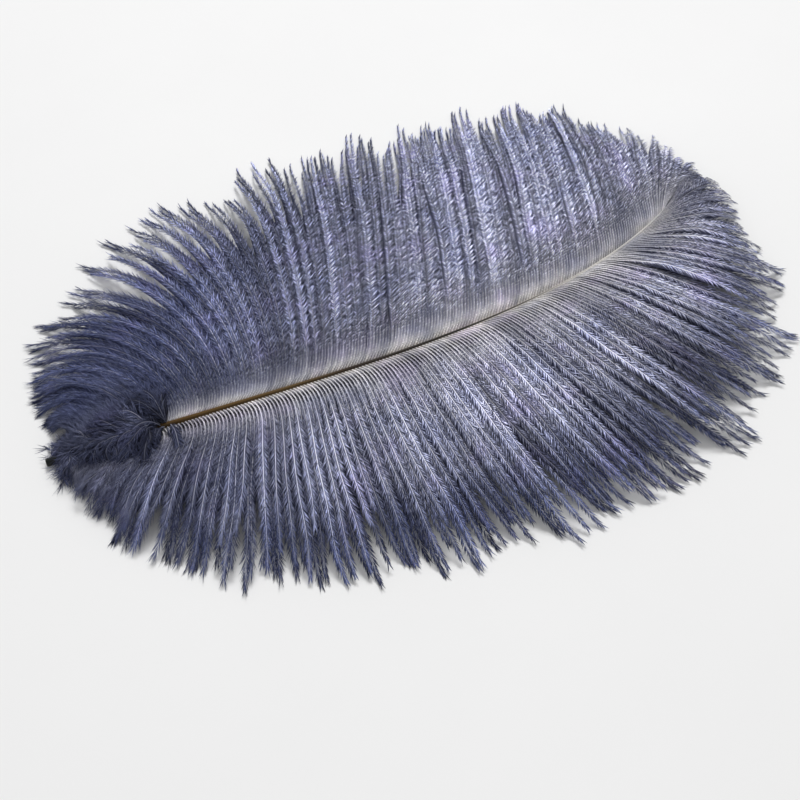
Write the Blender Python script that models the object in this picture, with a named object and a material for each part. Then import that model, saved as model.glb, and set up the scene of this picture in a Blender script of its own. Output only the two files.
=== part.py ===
"""An ostrich feather about 33 cm long, lying down with the rounded face of its shaft up.

The feather grew as one piece: a tapered shaft that ends in the cut quill, and two wide loose
vanes. Each vane is a row of soft barbs gathered in pointed locks, and each lock here is a flat
leaf that leaves the shaft at a low angle, turns out within a few millimetres, sinks from the
height of the shaft to the ground and ends in a point. Short downy locks stand up over the foot
of the shaft. All of them are united with the shaft in one solid.

+Z is up, +X runs from the quill's cut end to the tip, +Y is the wider vane. The ground is z = 0
and the origin lies under the middle of the feather.
"""

import math

import bmesh
import bpy
import numpy as np

MM = 0.001

# The shaft, from the quill's cut end to its tip.
SHAFT_LENGTH = 300 * MM
QUILL_END = (-163.3 * MM, 5.5 * MM)
QUILL_HEADING = math.radians(-12)
TIP_BEND = math.radians(42)
BEND_POWER = 2.4
QUILL_RADIUS = 1.7 * MM
TIP_RADIUS = 0.35 * MM
TAPER_POWER = 0.6
ARCH_RISE = 14 * MM
TIP_RISE = 6 * MM
SHAFT_POINTS = 22
SHAFT_SIDES_SETTING = 1

# Each vane, station by station: share of the shaft, length of the barbs in millimetres, their
# direction away from the shaft's own in degrees, and how far that direction goes on turning.
WIDE_VANE = (
    (0.045, 26, 138, 20),
    (0.10, 50, 146, 15),
    (0.18, 92, 134, 15),
    (0.26, 126, 108, 10),
    (0.34, 142, 86, 4),
    (0.45, 146, 73, 2),
    (0.60, 141, 68, 2),
    (0.75, 127, 60, 2),
    (0.87, 98, 53, 0),
    (0.95, 68, 42, 0),
    (1.00, 38, 2, 0),
)
NARROW_VANE = (
    (0.045, 22, 125, -10),
    (0.10, 40, 132, -12),
    (0.18, 64, 124, -14),
    (0.26, 82, 110, -16),
    (0.34, 93, 98, -20),
    (0.45, 101, 87, -24),
    (0.60, 112, 79, -28),
    (0.72, 109, 73, -28),
    (0.84, 86, 60, -18),
    (0.93, 56, 40, -10),
    (1.00, 36, 3, 0),
)
BARB_START = math.radians(28)
TURN_LENGTH = 5 * MM
SWEEP_PIVOT = 0.3
PATH_STEPS = 80

# The barbs near the foot bow towards the quill, by these angles from root to tip.
WIDE_BOW = math.radians(60)
NARROW_BOW = math.radians(24)
BOW_SHARES = (0.16, 0.44)

# The barbs rise a little before they fall, no steeper than a share of their own run, and lie on
# the ground from this share of their length on.
BARB_LIFT = 3.5 * MM
SINK_POWER = 2.0
STEEPEST = 0.85
LIE_SHARE = 0.92

# The locks of the vanes.
LOCKS_PER_VANE = 29
FIRST_LOCK = 0.055
WIDE_CROWDING = 1.25
NARROW_CROWDING = 1.0
LOCK_STATIONS = (0.0, 0.06, 0.15, 0.38, 0.68, 0.92, 1.0)
LOCK_SPREAD = (0.40, 0.95, 1.15, 1.14, 1.12, 0.64, 0.10)
RAGGED_LENGTH = 0.04
RAGGED_DIRECTION = 1.2
GOLDEN_ANGLE = math.pi * (3 - math.sqrt(5))
LEAST_HALF_WIDTH = 0.35 * MM
LEAST_NARROWING = 0.6
LOCK_THICKNESS_SHARE = 0.13
LEVEL_SHARE = 0.5
LAYER_STEP = 0.8 * MM
LAYER_START = 9 * MM
LAYER_RUN = 20 * MM
GROUND_HEIGHT = 0.15 * MM

# The web along the shaft, where the close-set bases of the barbs leave no gaps.
WEB_START = 0.06
WEB_POINTS = 18
WEB_HALF_WIDTH = 7.0 * MM
WEB_TIP_HALF_WIDTH = 3.5 * MM
WEB_HALF_THICKNESS = 0.3 * MM

# The downy locks that stand up over the foot of the shaft: the share of the shaft that they grow
# from, their side, length and lift in millimetres, and direction in degrees.
DOWN_LOCKS = (
    (0.067, -1, 28, 8, 152),
    (0.083, 1, 28, 10, 148),
    (0.097, -1, 35, 12, 161),
    (0.113, 1, 37, 13, 158),
    (0.127, -1, 39, 14, 151),
    (0.143, 1, 41, 16, 148),
    (0.157, -1, 42, 13, 139),
    (0.173, 1, 42, 15, 136),
)
DOWN_HALF_WIDTH = 4.2 * MM

CUTTER_DEPTH = 40 * MM
MERGE_DISTANCE = 0.001 * MM

COLOUR = (0.20, 0.21, 0.30, 1.0)
ROUGHNESS = 0.85


def smooth_stations(share, rows):
    """A smooth curve through the stations' values: one row of values for each share."""
    table = np.array(rows, float)
    places, values = table[:, 0], table[:, 1:]
    slopes = np.gradient(values, places, axis=0)
    left = np.clip(np.searchsorted(places, share, side="right") - 1, 0, len(places) - 2)
    gap = (places[left + 1] - places[left])[:, None]
    part = np.clip((share[:, None] - places[left, None]) / gap, 0, 1)
    rise = part * part * (3 - 2 * part)
    start_pull = part * (1 - part) ** 2 * gap
    end_pull = part * part * (1 - part) * gap
    return (
        values[left] * (1 - rise)
        + values[left + 1] * rise
        + slopes[left] * start_pull
        - slopes[left + 1] * end_pull
    )


def shaft_height(share):
    """Height of the shaft's axis: it lies on the ground at the quill and arches to the tip."""
    return QUILL_RADIUS + 4 * ARCH_RISE * share * (1 - share) + TIP_RISE * share**2


def shaft_heading(share):
    return QUILL_HEADING + TIP_BEND * share**BEND_POWER


def shaft_radius(share):
    return QUILL_RADIUS + (TIP_RADIUS - QUILL_RADIUS) * share**TAPER_POWER


def walk(start, step, heights, headings):
    """Points a step apart, with these heights and, between them, these headings in plan."""
    level_step = np.sqrt(np.maximum(step**2 - np.diff(heights) ** 2, 0))
    ahead = np.cumsum(level_step * np.cos(headings))
    aside = np.cumsum(level_step * np.sin(headings))
    x = start[0] + np.concatenate([[0], ahead])
    y = start[1] + np.concatenate([[0], aside])
    return np.stack([x, y, heights], axis=1)


def shaft_axis():
    """The shares and points of the shaft's axis, in fine steps."""
    share = np.linspace(0, 1, 301)
    middles = (share[1:] + share[:-1]) / 2
    step = SHAFT_LENGTH / (len(share) - 1)
    return share, walk(QUILL_END, step, shaft_height(share), shaft_heading(middles))


def point_on_shaft(share):
    shares, points = shaft_axis()
    return np.array([np.interp(share, shares, points[:, k]) for k in range(3)])


def smooth_step(value, low, high):
    """0 below low and 1 above high, with a smooth rise between them."""
    part = min(max((value - low) / (high - low), 0.0), 1.0)
    return part * part * (3 - 2 * part)


def barb_path(share, side, length, start, direction, sweep, lift, bow=0.0):
    """The line of one barb: it leaves at its start angle, turns out and sinks to the ground."""
    root = point_on_shaft(share)
    along = np.linspace(0, 1, PATH_STEPS + 1)
    middles = (along[1:] + along[:-1]) / 2
    settled = direction + sweep * (middles - SWEEP_PIVOT) + bow * (middles - 0.5)
    turning = (start - settled[0]) * np.exp(-middles * length / TURN_LENGTH)
    headings = shaft_heading(share) + side * (settled + turning)
    airborne = np.minimum(along / LIE_SHARE, 1)
    arch = (GROUND_HEIGHT - root[2]) * airborne**SINK_POWER + lift * np.sin(math.pi * airborne)
    steepest = STEEPEST * length / PATH_STEPS
    rises = np.clip(np.diff(arch), -steepest, steepest)
    heights = root[2] + np.concatenate([[0], np.cumsum(rises)])
    return along, walk(root, length / PATH_STEPS, heights, headings)


def vane_path(share, side, rows, ragged=0.0):
    """The barb that grows at this share of the shaft, and its length. Ragged runs from -1 to 1."""
    length, direction, sweep = smooth_stations(np.array([share]), rows)[0]
    length = length * (1 + RAGGED_LENGTH * ragged) * MM
    direction = math.radians(direction + RAGGED_DIRECTION * ragged)
    bow = (WIDE_BOW if side > 0 else NARROW_BOW) * (1 - smooth_step(share, *BOW_SHARES))
    start = min(BARB_START, direction)
    along, points = barb_path(
        share, side, length, start, direction, math.radians(sweep), BARB_LIFT, bow
    )
    return along, points, length


def sampled(along, points, stations):
    return np.stack([np.interp(stations, along, points[:, k]) for k in range(3)], axis=1)


def gap_between(first, second):
    """How far apart two paths lie at each point, measured across the first."""
    ahead = np.gradient(first, axis=0)[:, :2]
    ahead /= np.linalg.norm(ahead, axis=1, keepdims=True)
    between = (second - first)[:, :2]
    return np.abs(between[:, 0] * ahead[:, 1] - between[:, 1] * ahead[:, 0])


def leaf_profile(name, half):
    """A flat hexagon 2 wide, with a level top and underside this half thickness from its middle."""
    level = LEVEL_SHARE
    curve = bpy.data.curves.new(name, "CURVE")
    curve.dimensions = "2D"
    corners = ((-1, 0), (-level, -half), (level, -half), (1, 0), (level, half), (-level, half))
    spline = curve.splines.new("POLY")
    spline.points.add(len(corners) - 1)
    for point, (x, y) in zip(spline.points, corners):
        point.co = (x, y, 0, 1)
    spline.use_cyclic_u = True
    profile = bpy.data.objects.new(name, curve)
    bpy.context.scene.collection.objects.link(profile)
    return profile


def path_curve(name, points, radii):
    """A curve object along these points, whose section is scaled by the radii."""
    curve = bpy.data.curves.new(name, "CURVE")
    curve.dimensions = "3D"
    curve.twist_mode = "Z_UP"
    curve.use_fill_caps = True
    spline = curve.splines.new("POLY")
    spline.points.add(len(points) - 1)
    for point, place, radius in zip(spline.points, points, radii):
        point.co = (*place, 1)
        point.radius = radius
    made = bpy.data.objects.new(name, curve)
    bpy.context.scene.collection.objects.link(made)
    return made


def mesh_from_curve(source, collection):
    """The curve's evaluated shape as a closed mesh object of its name, in the collection."""
    bpy.context.view_layer.update()
    graph = bpy.context.evaluated_depsgraph_get()
    mesh = bpy.data.meshes.new_from_object(source.evaluated_get(graph))
    shape = bmesh.new()
    shape.from_mesh(mesh)
    bmesh.ops.remove_doubles(shape, verts=shape.verts, dist=MERGE_DISTANCE)
    bmesh.ops.recalc_face_normals(shape, faces=shape.faces)
    shape.to_mesh(mesh)
    shape.free()
    name = source.name
    place = source.matrix_world.copy()
    curve = source.data
    bpy.data.objects.remove(source)
    bpy.data.curves.remove(curve)
    made = bpy.data.objects.new(name, mesh)
    made.matrix_world = place
    collection.objects.link(made)
    return made


def make_shaft(collection):
    """The tapered shaft, from the cut quill to the tip."""
    share = np.linspace(0, 1, SHAFT_POINTS)
    points = np.array([point_on_shaft(s) for s in share])
    shaft = path_curve("feather", points, shaft_radius(share) / QUILL_RADIUS)
    shaft.data.bevel_depth = QUILL_RADIUS
    shaft.data.bevel_resolution = SHAFT_SIDES_SETTING
    return mesh_from_curve(shaft, collection)


def make_lock(name, points, half_widths, profile, collection):
    lock = path_curve(name, points, half_widths)
    lock.data.bevel_mode = "OBJECT"
    lock.data.bevel_object = profile
    return mesh_from_curve(lock, collection)


def make_web(profile, collection):
    """The flat web on both sides of the shaft."""
    share = np.linspace(WEB_START, 1, WEB_POINTS)
    points = np.array([point_on_shaft(s) for s in share])
    part = (share - WEB_START) / (1 - WEB_START)
    half_widths = WEB_HALF_WIDTH + (WEB_TIP_HALF_WIDTH - WEB_HALF_WIDTH) * part**2
    make_lock("web", points, half_widths, profile, collection)


def make_vane(label, side, rows, crowding, profile, collection):
    """The locks of one vane. Each is as wide as the gap to its neighbours, and every other lies over."""
    shares = FIRST_LOCK + (1 - FIRST_LOCK) * np.linspace(0, 1, LOCKS_PER_VANE) ** crowding
    steps = np.gradient(shares)
    stations = np.array(LOCK_STATIONS)
    spread = np.array(LOCK_SPREAD)
    for index, share in enumerate(shares):
        ragged = math.sin(GOLDEN_ANGLE * index)
        along, path, length = vane_path(share, side, rows, ragged)
        straight = vane_path(share, side, rows)[1]
        before = vane_path(share - steps[index] / 2, side, rows)[1]
        points = sampled(along, path, stations)
        gap = 2 * np.interp(stations, along, gap_between(straight, before))
        half_widths = np.maximum(spread * gap / 2, LEAST_HALF_WIDTH * (1 - LEAST_NARROWING * stations))
        parting = np.clip((stations * length - LAYER_START) / LAYER_RUN, 0, 1)
        points[:, 2] += LAYER_STEP * (index % 2) * parting
        make_lock(f"{label}_lock_{index}", points, half_widths, profile, collection)


def make_down(profile, collection):
    """The downy locks over the foot of the shaft, on both sides."""
    stations = np.array(LOCK_STATIONS)
    spread = np.array(LOCK_SPREAD)
    for index, (share, side, length, lift, direction) in enumerate(DOWN_LOCKS):
        heading = math.radians(direction)
        along, path = barb_path(share, side, length * MM, heading, heading, 0.0, lift * MM)
        points = sampled(along, path, stations)
        make_lock(f"down_lock_{index}", points, spread * DOWN_HALF_WIDTH, profile, collection)


def make_ground_cutter(collection):
    """A block under the ground, which cuts the lowest locks flat where they lie on it."""
    mesh = bpy.data.meshes.new("ground_cutter")
    shape = bmesh.new()
    bmesh.ops.create_cube(shape, size=1)
    width = 2 * SHAFT_LENGTH
    bmesh.ops.scale(shape, vec=(width, width, CUTTER_DEPTH), verts=shape.verts)
    bmesh.ops.translate(shape, vec=(0, 0, -CUTTER_DEPTH / 2), verts=shape.verts)
    shape.to_mesh(mesh)
    shape.free()
    cutter = bpy.data.objects.new("ground_cutter", mesh)
    collection.objects.link(cutter)
    return cutter


def feather_material():
    material = bpy.data.materials.new("dyed_plume")
    material.use_nodes = True
    shader = material.node_tree.nodes["Principled BSDF"]
    shader.inputs["Base Color"].default_value = COLOUR
    shader.inputs["Roughness"].default_value = ROUGHNESS
    shader.inputs["Metallic"].default_value = 0.0
    return material


def new_collection(name):
    collection = bpy.data.collections.new(name)
    bpy.context.scene.collection.children.link(collection)
    return collection


def clear_scene():
    for old in list(bpy.data.objects):
        bpy.data.objects.remove(old)


def hide_helpers(collection):
    for helper in collection.objects:
        helper.hide_render = True
        helper.display_type = "WIRE"


def build():
    clear_scene()
    kept = new_collection("ostrich_feather")
    locks = new_collection("lock_shapes")
    cutters = new_collection("cutters")
    profile = leaf_profile("lock_profile", LOCK_THICKNESS_SHARE)
    web_profile = leaf_profile("web_profile", WEB_HALF_THICKNESS / WEB_HALF_WIDTH)
    feather = make_shaft(kept)
    make_vane("wide", 1, WIDE_VANE, WIDE_CROWDING, profile, locks)
    make_vane("narrow", -1, NARROW_VANE, NARROW_CROWDING, profile, locks)
    make_down(profile, locks)
    make_web(web_profile, locks)
    bpy.data.objects.remove(profile)
    bpy.data.objects.remove(web_profile)
    cutter = make_ground_cutter(cutters)
    hide_helpers(locks)
    hide_helpers(cutters)

    union = feather.modifiers.new("locks", "BOOLEAN")
    union.operation = "UNION"
    union.solver = "EXACT"
    union.operand_type = "COLLECTION"
    union.collection = locks
    flat = feather.modifiers.new("ground", "BOOLEAN")
    flat.operation = "DIFFERENCE"
    flat.solver = "EXACT"
    flat.object = cutter
    feather.data.materials.append(feather_material())


build()
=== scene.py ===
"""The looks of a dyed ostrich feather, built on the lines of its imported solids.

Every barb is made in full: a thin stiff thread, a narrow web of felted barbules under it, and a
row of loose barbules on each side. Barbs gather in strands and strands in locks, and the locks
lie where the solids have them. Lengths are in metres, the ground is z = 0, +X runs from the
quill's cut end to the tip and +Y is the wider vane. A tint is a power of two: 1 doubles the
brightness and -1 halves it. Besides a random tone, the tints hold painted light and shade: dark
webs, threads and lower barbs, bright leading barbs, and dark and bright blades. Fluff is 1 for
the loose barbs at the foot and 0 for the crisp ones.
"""

import math

import bpy
import numpy as np
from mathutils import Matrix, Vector


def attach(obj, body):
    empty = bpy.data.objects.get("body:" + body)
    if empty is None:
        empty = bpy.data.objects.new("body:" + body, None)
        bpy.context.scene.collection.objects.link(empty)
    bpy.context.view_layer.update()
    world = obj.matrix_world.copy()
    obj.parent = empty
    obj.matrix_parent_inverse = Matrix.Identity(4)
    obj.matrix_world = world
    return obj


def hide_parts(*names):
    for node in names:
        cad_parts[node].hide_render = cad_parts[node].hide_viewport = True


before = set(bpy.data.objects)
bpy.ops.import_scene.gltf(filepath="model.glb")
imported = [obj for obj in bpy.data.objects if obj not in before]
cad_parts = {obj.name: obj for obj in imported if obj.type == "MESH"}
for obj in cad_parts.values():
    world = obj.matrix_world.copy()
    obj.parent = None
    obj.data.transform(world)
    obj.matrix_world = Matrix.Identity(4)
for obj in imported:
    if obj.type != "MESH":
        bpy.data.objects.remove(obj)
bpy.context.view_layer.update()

MM = 0.001
SEED = 7

# The shaft's line, as the solids have it.
SHAFT_LENGTH = 300 * MM
QUILL_END = (-163.3 * MM, 5.5 * MM)
QUILL_HEADING = math.radians(-12)
TIP_BEND = math.radians(42)
BEND_POWER = 2.4
QUILL_RADIUS = 1.7 * MM
TIP_RADIUS = 0.35 * MM
TAPER_POWER = 0.6
ARCH_RISE = 14 * MM
TIP_RISE = 6 * MM

# Each vane, station by station: share of the shaft, length of the barbs in millimetres, their
# direction away from the shaft's own in degrees, and how far that direction goes on turning.
WIDE_STATIONS = (
    (0.045, 26, 138, 20),
    (0.10, 50, 146, 15),
    (0.18, 92, 134, 15),
    (0.26, 126, 108, 10),
    (0.34, 142, 86, 4),
    (0.45, 146, 73, 2),
    (0.60, 141, 68, 2),
    (0.75, 127, 60, 2),
    (0.87, 98, 53, 0),
    (0.95, 68, 42, 0),
    (1.00, 38, 2, 0),
)
NARROW_STATIONS = (
    (0.045, 22, 125, -10),
    (0.10, 40, 132, -12),
    (0.18, 64, 124, -14),
    (0.26, 82, 110, -16),
    (0.34, 93, 98, -20),
    (0.45, 101, 87, -24),
    (0.60, 112, 79, -28),
    (0.72, 109, 73, -28),
    (0.84, 86, 60, -18),
    (0.93, 56, 40, -10),
    (1.00, 36, 3, 0),
)

# What sets each kind of barb apart from the others.
WIDE_VANE = {
    "side": 1,
    "stations": WIDE_STATIONS,
    # How the locks crowd at the foot, their barbs, and how far a barb there bows in plan.
    "crowding": 1.25,
    "barbs_per_lock": 8,
    "bow": math.radians(60),
    # How unlike in height the locks are, and what is left of the shortest barb.
    "unevenness": 0.5,
    "shortest": 0.84,
    # Every how many barbs one leads, and the tints of rank 0 and rank 1: painted shade on the barbs
    # that lie under others and painted light on the leaders over them.
    "lead_every": 3,
    "rank_light_and_shade_tints": (-0.40, 1.25),
    # The dusk, a painted shade that darkens the dye: how much there is at the foot and how far
    # along a barb it is reached, then how much there is at the barbs' tips, and where it starts and
    # ends.
    "foot_painted_dusk": (1.0, 0.11),
    "tip_painted_dusk": (0.5, 0.8, 1.0),
    # How much painted shade darkens the barbules near the shaft, towards the feather's tip.
    "tip_shade": 0.2,
    # The thread: its tint, a painted shade that dims the threads here and a painted light that
    # brightens them on the narrow vane; how much wider its root is, and how much thinner on a short
    # barb.
    "thread_light_and_shade": -1.3,
    "flare": 0.12 * MM,
    "short_thinness": 0.3,
    # The web: its half width at the root, its painted shade, and how far out it has that shade in
    # full.
    "root_web": 1.0 * MM,
    "web_painted_shade": -1.3,
    "web_reach": 20 * MM,
    # The barbules: the gap between them, length, breadth and lean; how much longer those on the
    # right are, and how far over the thread they start; their painted light and shade, and how much
    # their light and dark vary at random.
    "gap": 0.62 * MM,
    "longest": 4.2 * MM,
    "breadth": 1.3,
    "lean": 0.92,
    "slant": 0.30,
    "crossing": 0.4 * MM,
    "contrast": 2.0,
    "variety": 0.75,
}
NARROW_VANE = {
    "side": -1,
    "stations": NARROW_STATIONS,
    "crowding": 1.0,
    "barbs_per_lock": 7,
    "bow": math.radians(24),
    "unevenness": 1.0,
    "shortest": 0.70,
    "lead_every": 2,
    "rank_light_and_shade_tints": (-1.0, 0.72),
    "foot_painted_dusk": (0.75, 0.2),
    "tip_painted_dusk": (1.0, 0.34, 0.85),
    "tip_shade": 0.85,
    "thread_light_and_shade": 0.55,
    "flare": 0.19 * MM,
    "short_thinness": 0.5,
    "root_web": 0.1 * MM,
    "web_painted_shade": -2.3,
    "web_reach": 3 * MM,
    "gap": 0.56 * MM,
    "longest": 4.6 * MM,
    "breadth": 1.15,
    "lean": 1.0,
    "slant": 0.0,
    "crossing": 0.0,
    "contrast": 1.5,
    "variety": 0.65,
}
DOWN = {
    "flare": 0.19 * MM,
    "root_web": 0.0,
    "web_painted_shade": -2.3,
    "web_reach": 3 * MM,
    "crossing": 0.0,
    "contrast": 1.5,
    "variety": 0.65,
}

# How a barb leaves the shaft, bows near the foot, and sinks to the ground.
BARB_START = math.radians(28)
TURN_LENGTH = 5 * MM
BOW_SHARES = (0.16, 0.44)
SWEEP_PIVOT = 0.3
BARB_LIFT = 3.5 * MM
SINK_POWER = 2.0
STEEPEST = 0.85
LIE_SHARE = 0.92
GROUND_HEIGHT = 0.15 * MM
LOWEST = 0.20 * MM
STATIONS = 61

# The locks: where the first one grows, how ragged their lengths and directions are, and how the
# barbs of every other one lie over their neighbours.
LOCKS_PER_VANE = 29
FIRST_LOCK = 0.05
RAGGED_LENGTH = 0.04
RAGGED_DIRECTION = 0.4
GOLDEN_ANGLE = math.pi * (3 - math.sqrt(5))
LAYER_STEP = 0.3 * MM
LAYER_START = 7 * MM
LAYER_RUN = 20 * MM
LOCK_ARCH = 0.8 * MM
LOCK_TINTS = 0.14
BARB_TINTS = 0.16

# The strands: how far they are drawn in to their lock, and barbs to their strand, and where
# along the barb. A loose barb is drawn in less and swings aside.
STRANDS_PER_LOCK = 3
STRAND_LIFT = 0.8 * MM
LOCK_PULL = 0.06
LOCK_PULL_ALONG = (0.35, 1.0)
STRAND_PULL = 0.20
FOOT_PULL = 0.25
FOOT_PULL_SHARES = (0.25, 0.45)
STRAND_PULL_ALONG = (0.08, 0.85)
LOOSE_BARBS = 0.09
LOOSE_PULL = 0.2
LOOSE_SWING = 7 * MM
LOOSE_SWING_ALONG = (0.3, 1.0)
LOOSE_LIFT = 1.2 * MM
WANDER = 1.5 * MM
WANDER_ALONG = (0.1, 1.0)
OWN_WANDER = 0.45

# Rank: how often the leaders come in order, the two ranks, and what rank does to a barb.
ORDERLY = 0.85
FOLLOWER_RANK = 0.25
LEADER_RANK = 0.75
RANK_NOISE = 0.25
# Where the painted light and shade of rank grow in along a barb.
RANK_REACH = (6 * MM, 32 * MM)
LEADER_RISE = 1.5 * MM
SHORT_POWER = 1.6
SHORT_FLOOR = 0.4
SHORT_LIFT = 3.5 * MM
LIFT_NOISE = 0.3 * MM
LIFT_FALL = 0.35
LIFT_FALL_ALONG = (0.7, 1.0)

# How the barbs change from the foot of the feather to its crisp part, and on to its tip.
FLUFF_SHARES = (0.12, 0.42)
# Where the dusk, a painted shade at the feather's foot, fades out along the shaft.
PAINTED_DUSK_SHARES = (0.17, 0.57)
TIP_SHADE_SHARES = (0.68, 0.86)
TIP_SHADE_REACH = (8 * MM, 34 * MM)
THIN_LENGTHS = (40 * MM, 95 * MM)

# The down at the shaft's foot. Its reach is a length, what it gains with the share of the shaft,
# and the most that it comes to.
DOWN_BARBS = 200
DOWN_SHARES = (0.04, 0.172)
DOWN_CROWDING = 1.3
DOWN_LENGTHS = (0.55, 1.0)
DOWN_REACH = (9 * MM, 200 * MM, 40 * MM)
DOWN_DIRECTIONS = (math.radians(72), math.radians(172))
DOWN_SWEEP = math.radians(45)
DOWN_LIFTS = (2 * MM, 10 * MM)
DOWN_WANDER = 2.5 * MM
# The down's tints: random about a mean of -0.6, and that mean is a painted shade over the whole
# tuft.
DOWN_TINT_AND_SHADE = (-0.6, 0.6)
DOWN_FLUFF = 1.1
DOWN_GROWTH = 7 * MM
DOWN_GAP = 0.46 * MM
DOWN_THINNESS = 0.45

# The thread of a barb.
THREAD_RADIUS = 0.24 * MM
THREAD_TIP_RADIUS = 0.09 * MM
THREAD_TAPER = 2.0
THREAD_STATIONS = 25
THREAD_CORNERS = np.radians([90, 210, 330])
THREAD_REACH = (10 * MM, 34 * MM)
# How much of the dusk, a painted shade, reaches the threads.
THREAD_PAINTED_DUSK = 0.65
FOOT_THREAD_TINT = 0.5
FOOT_THREAD_SHARES = (0.20, 0.50)
FLARE_LENGTH = 10 * MM

# The web under the thread.
WEB_STATIONS = 16
WEB_SHARE = 0.42
WEB_EDGE = 0.03 * MM
WEB_DROOP = math.radians(30)
FLUFF_WEB = 0.35
FOLLOWER_WEB = 1.35
ROOT_WEB_REACH = (8 * MM, 22 * MM)
WEB_END_ALONG = (0.55, 0.92)

# The barbules' lengths: a share of the full one at the root and at the barb's tip, and how far
# out they are full grown.
FOOT_BARBULE = 6.4 * MM
FOOT_BARBULE_GAP = 0.35 * MM
ROOT_LENGTH = 0.14
TIP_LENGTH = 0.74
FLUFF_TIP_LENGTH = 0.20
TIP_LENGTH_ALONG = (0.7, 1.0)
GROWTH_START = 2 * MM
VANE_GROWTH = 32 * MM
SHORT_GROWTH = 0.5
FOOT_GROWTH = 0.55
BARBULE_LENGTHS = (0.66, 0.46, 0.16)

# The barbules' places. Two neighbours make a cluster, a thin blade darkened as painted shade and a
# broad one lightened as painted light.
CLUSTER = 2
CLUSTER_PULL = 0.35
GAP_NOISE = 0.25
BARBULE_START = 1.5 * MM
BARBULE_SEAT = 0.20 * MM
COVER_SEAT = 0.30 * MM
BARBULE_FLOOR = 0.05 * MM
BRUSH = 4 * MM

# The barbules' angles to the thread, their roll about it, and how those vary.
ROOT_ANGLE = math.radians(42)
TIP_ANGLE = math.radians(31)
ANGLE_SHARE = 0.98
ANGLE_SPREAD = 0.40
BRUSH_ANGLE = 0.5
BRUSH_ALONG = (0.86, 1.0)
FOOT_LEAN = 0.30
FLUFF_ANGLES = 0.22
DROOP = math.radians(15)
TOSS = math.radians(13)
OWN_TOSS = 0.3
FLUFF_TOSS = math.radians(26)
THIN_ROLL = math.radians(-3)
BROAD_ROLL = math.radians(1)

# The barbules' blades, and their painted light and shade.
BLADE_THICKNESS = 0.10 * MM
BLADE_WIDEST = 0.42
THIN_BLADE = 0.30 * MM
BROAD_BLADE = 0.34 * MM
FULL_BLADE_LENGTH = 3 * MM
SHORT_BLADE = 0.45
FLUFF_THINNESS = 0.45
FLUFF_CALM = 0.75
ROOT_CONTRAST = 0.35
CONTRAST_REACH = (5 * MM, 30 * MM)

# Place across a barb, from 0 at the thread to 1 at the barbules' tips, for each shape's corners.
WEB_FRINGE = (0.2, 0.4, 0.4)
BLADE_FRINGE = (0.2, 0.5, 0.5, 1.0)

# The shaft's mesh.
SHAFT_STATIONS = 120
SHAFT_SIDES = 24

# The dye along a barb (1 is 100 mm out) and in patches, and across it (1 is the barbules' tips) a
# painted shade that is darkest at the barbules' tips.
DYE_ALONG = (
    (0.0, (0.80, 0.74, 0.66)),
    (0.03, (0.76, 0.73, 0.71)),
    (0.09, (0.68, 0.67, 0.73)),
    (0.17, (0.56, 0.565, 0.67)),
    (0.28, (0.49, 0.505, 0.64)),
    (1.0, (0.45, 0.47, 0.62)),
)
# Painted shade across a barb: its barbules' tips are darker, for the gaps between barbs.
PAINTED_SHADE_ACROSS = (
    (0.0, (1, 1, 1)),
    (0.2, (0.9, 0.9, 0.9)),
    (0.5, (1.0, 1.0, 1.0)),
    (0.7, (0.95, 0.95, 0.98)),
    (1.0, (0.7, 0.71, 0.78)),
)
DYE_PATCHES = (
    (0.35, (0.80, 0.82, 0.90)),
    (0.5, (1, 1, 1)),
    (0.68, (1.03, 0.98, 1.10)),
)
PATCHES_PER_METRE = 55
BARE_THREAD = (0.90, 0.88, 0.89)
# The dusk's dark navy, a painted shade multiplied into the dye.
PAINTED_DUSK = (0.22, 0.25, 0.37)
# Dark tints, most of them painted shade, are turned bluer by this.
PAINTED_SHADE_BLUE = (0.88, 0.92, 1.18)

# The horn along the shaft, at its middle and at its edges, and half the width of the middle band
# as a share of the shaft's, before and after it narrows.
HORN_MIDDLE = (
    (0.0, (0.010, 0.012, 0.011)),
    (0.12, (0.015, 0.011, 0.006)),
    (0.18, (0.085, 0.042, 0.006)),
    (0.34, (0.090, 0.050, 0.010)),
    (0.42, (0.020, 0.010, 0.004)),
    (0.58, (0.010, 0.007, 0.005)),
    (0.68, (0.06, 0.05, 0.045)),
    (0.80, (0.55, 0.53, 0.50)),
    (1.0, (0.45, 0.45, 0.46)),
)
HORN_EDGES = (
    (0.0, (0.010, 0.012, 0.011)),
    (0.12, (0.02, 0.014, 0.008)),
    (0.18, (0.10, 0.060, 0.014)),
    (0.28, (0.20, 0.145, 0.075)),
    (0.45, (0.46, 0.41, 0.33)),
    (0.65, (0.66, 0.63, 0.58)),
    (1.0, (0.55, 0.54, 0.52)),
)
BAND_SHARES = (0.50, 0.74)
BAND_WIDTHS = (0.90, 0.40)
BAND_BLUR = 0.12

# The stage: the floor's half width and grey, the light from all round, and the lamps' places,
# sizes and watts.
FLOOR_HALF = 3.0
FLOOR_GREY = (0.86, 0.86, 0.86)
AIR_LIGHT = 0.40
KEY_LIGHT = ((1.3, 2.3, 3.6), 1.5, 140.0)
FILL_LIGHT = ((-1.2, -1.6, 2.4), 2.4, 8.0)

# The camera, set from the shaft's place in the photograph.
LENS = 63
SENSOR = 36
CAMERA_AZIMUTH = math.radians(-26.9)
CAMERA_ELEVATION = math.radians(55)
CAMERA_DISTANCE = 572.5 * MM
LOOK_AT = (-24.7 * MM, -29.5 * MM, 0.0)


def smooth_step(value, low, high):
    """0 below low and 1 above high, with the cubic 3p^2 - 2p^3 between them."""
    part = np.clip((value - low) / (high - low), 0, 1)
    return part * part * (3 - 2 * part)


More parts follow.
